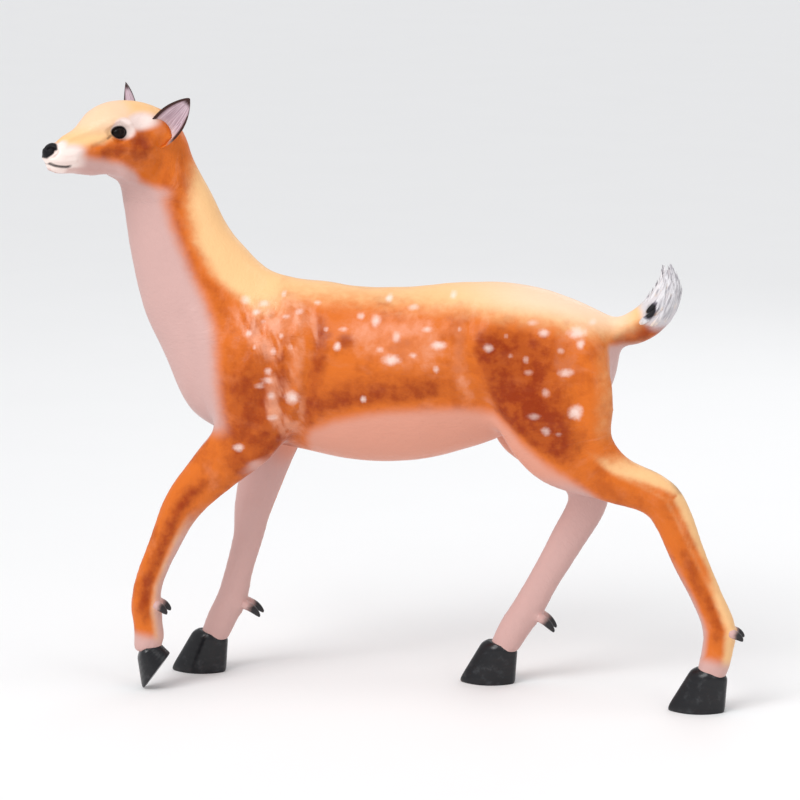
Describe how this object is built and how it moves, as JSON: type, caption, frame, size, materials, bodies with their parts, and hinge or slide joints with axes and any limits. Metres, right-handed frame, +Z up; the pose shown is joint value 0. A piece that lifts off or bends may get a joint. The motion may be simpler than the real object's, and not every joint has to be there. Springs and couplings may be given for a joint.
{
  "type": "deer statue",
  "caption": "Walking doe cast in painted fiberglass, head turned to its left, tail raised, standing on its own hooves.",
  "frame": {"origin": "middle of the bounding box, on the ground under the soles", "axes": "the doe walks towards -X, its left flank faces -Y, +Z is up"},
  "size_m": [1.1396, 0.2544, 1.0052],
  "materials": {
    "varnished_paint": "hand-painted coat under clear varnish, on fiberglass"
  },
  "bodies": {
    "root": {"doe_casting": "varnished_paint"}
  },
  "joints": []
}
